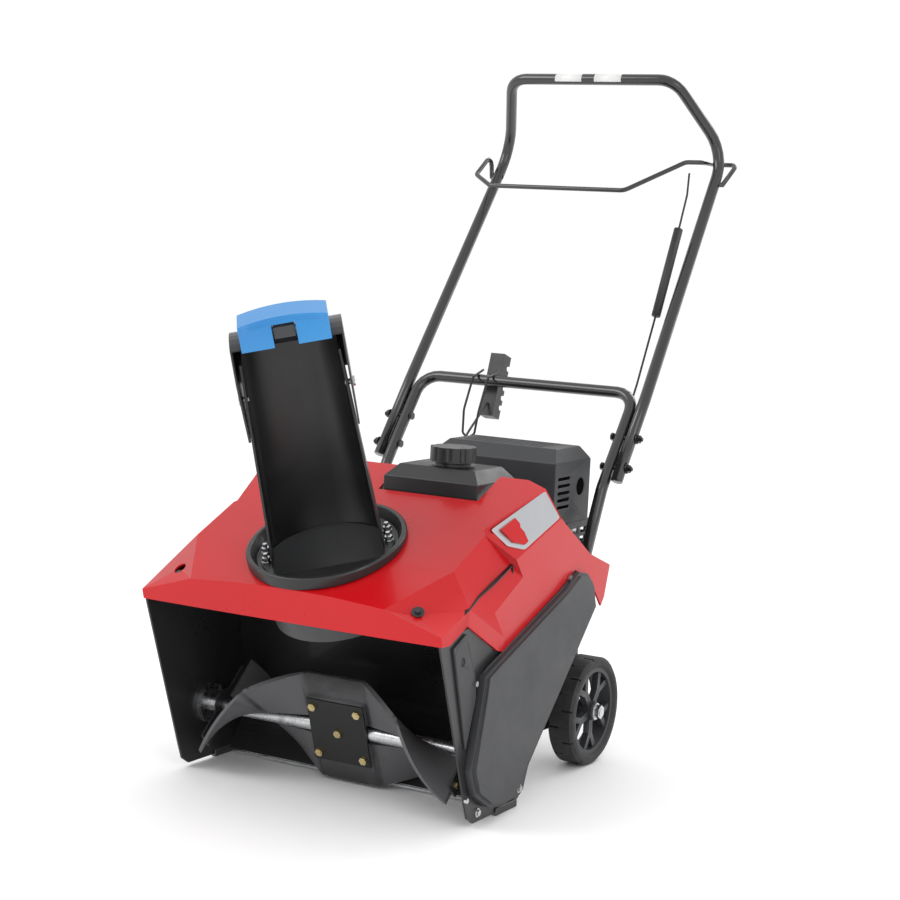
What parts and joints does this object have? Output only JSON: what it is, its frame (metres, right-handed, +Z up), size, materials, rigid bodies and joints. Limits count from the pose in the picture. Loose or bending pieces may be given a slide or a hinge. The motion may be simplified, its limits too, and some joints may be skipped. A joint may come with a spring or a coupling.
{
  "type": "single stage snowblower",
  "caption": "Walk-behind single stage snowblower with a red hood, black tube handle, turning chute with a blue deflector grip, rubber paddle rotor, small engine and two spoked wheels.",
  "frame": {"origin": "centre of the bounding box on the ground plane", "axes": "+X is to the right of a viewer who faces the intake, -Y is the way the intake faces, +Z is up"},
  "size_m": [0.511, 1.0974, 1.0875],
  "materials": {
    "hood_red": "gloss",
    "black_metal": "semi-gloss",
    "black_plastic": "satin",
    "grey_cover": "satin",
    "handle_black": "gloss",
    "tyre_rubber": "matte",
    "paddle_rubber": "matte",
    "skid_rubber": "matte",
    "zinc_steel": "satin",
    "brass_bolt": "satin",
    "cast_alloy": "matte",
    "grip_blue": "gloss",
    "label_silver": "satin",
    "cord_black": "matte",
    "rope_fabric": "matte",
    "belt_rubber": "matte"
  },
  "bodies": {
    "frame": {"auger_housing": "black_metal", "left_side_plate": "black_metal", "right_side_plate": "black_metal", "housing_bolts": "zinc_steel", "scraper": "zinc_steel", "scraper_bolts": "brass_bolt", "left_skid": "skid_rubber", "right_skid": "skid_rubber", "chute_funnel": "grey_cover", "chute_ring": "black_plastic", "hood": "hood_red", "hood_screws": "black_plastic", "decal_plate": "label_silver", "front_side_panel": "grey_cover", "belt_cover": "grey_cover", "belt_cover_screws": "zinc_steel", "chassis_rails": "black_metal", "engine_deck": "black_metal", "axle": "zinc_steel", "axle_nuts": "zinc_steel", "rotor_bearings": "zinc_steel", "drive_belt": "belt_rubber", "engine_block": "cast_alloy", "engine_cylinder": "cast_alloy", "engine_shroud": "grey_cover", "recoil_housing": "grey_cover", "muffler": "zinc_steel", "muffler_guard": "grey_cover", "fuel_tank": "black_plastic", "lower_handle": "handle_black", "upper_handle": "handle_black", "handle_bolts": "black_metal", "control_cable": "cord_black", "starter_rope": "rope_fabric", "rope_guide": "black_metal", "engine_controls": "black_plastic"},
    "wheel_left": {"left_tyre": "tyre_rubber", "left_rim": "grey_cover"},
    "wheel_right": {"right_tyre": "tyre_rubber", "right_rim": "grey_cover"},
    "rotor": {"rotor_shaft": "zinc_steel", "paddle_front": "paddle_rubber", "paddle_rear": "paddle_rubber", "centre_plates": "black_metal", "rotor_end_plates": "black_metal", "rotor_bolts": "brass_bolt", "rotor_pulley": "zinc_steel"},
    "crank": {"crankshaft": "zinc_steel", "crank_pulley": "zinc_steel", "flywheel": "zinc_steel"},
    "idler_arm_body": {"idler_arm": "zinc_steel"},
    "idler_wheel": {"idler_pulley": "grey_cover"},
    "chute_body": {"chute": "black_plastic", "chute_bolts": "zinc_steel"},
    "deflector_body": {"deflector": "black_plastic", "deflector_handle": "grip_blue"},
    "trigger": {"deflector_trigger": "grey_cover"},
    "bail_body": {"bail": "handle_black"},
    "grip": {"starter_grip": "black_plastic"},
    "cap": {"fuel_cap": "black_plastic"}
  },
  "joints": [
    {"name": "left_wheel_spin", "type": "hinge", "parent": "frame", "child": "wheel_left", "pos_m": [-0.219, 0.0887, 0.084], "axis": [1, 0, 0], "continuous": true},
    {"name": "right_wheel_spin", "type": "hinge", "parent": "frame", "child": "wheel_right", "pos_m": [0.206, 0.0887, 0.084], "axis": [1, 0, 0], "continuous": true},
    {"name": "rotor_spin", "type": "hinge", "parent": "frame", "child": "rotor", "pos_m": [-0.0065, -0.2693, 0.088], "axis": [1, 0, 0], "continuous": true},
    {"name": "engine_spin", "type": "hinge", "parent": "frame", "child": "crank", "pos_m": [-0.0065, -0.0423, 0.27], "axis": [1, 0, 0], "continuous": true},
    {"name": "chute_turn", "type": "hinge", "parent": "frame", "child": "chute_body", "pos_m": [-0.0065, -0.3333, 0.366], "axis": [0, -0.3746, 0.9272], "range_deg": [-135, 65]},
    {"name": "deflector_tilt", "type": "hinge", "parent": "chute_body", "child": "deflector_body", "pos_m": [0.0021, -0.43685, 0.58948], "axis": [0.8192, 0.5318, 0.2149], "range_deg": [-15, 40]},
    {"name": "trigger_squeeze", "type": "hinge", "parent": "deflector_body", "child": "trigger", "pos_m": [0.0216, -0.50238, 0.67733], "axis": [0.8192, 0.5318, 0.2149], "range_deg": [0, 12], "stiffness_Nm_per_rad": 0.05},
    {"name": "bail_press", "type": "hinge", "parent": "frame", "child": "bail_body", "pos_m": [-0.0065, 0.4977, 0.91], "axis": [-1, 0, 0], "range_deg": [0, 92], "stiffness_Nm_per_rad": 0.6},
    {"name": "idler_engage", "type": "hinge", "parent": "frame", "child": "idler_arm_body", "pos_m": [0.2395, -0.1113, 0.262], "axis": [1, 0, 0], "range_deg": [0, 6]},
    {"name": "idler_spin", "type": "hinge", "parent": "idler_arm_body", "child": "idler_wheel", "pos_m": [0.2455, -0.2008, 0.237], "axis": [1, 0, 0], "continuous": true},
    {"name": "starter_pull", "type": "slide", "parent": "frame", "child": "grip", "axis": [0, 0.8, 0.6], "range_m": [0, 0.55], "stiffness_N_per_m": 12},
    {"name": "cap_turn", "type": "hinge", "parent": "frame", "child": "cap", "pos_m": [0.0775, -0.1333, 0.475], "axis": [0, 0, 1], "range_deg": [0, 120]}
  ],
  "couplings": [
    {"joint": "engine_spin", "follows": "rotor_spin", "ratio": 2},
    {"joint": "idler_engage", "follows": "bail_press", "ratio": 0.065217}
  ]
}
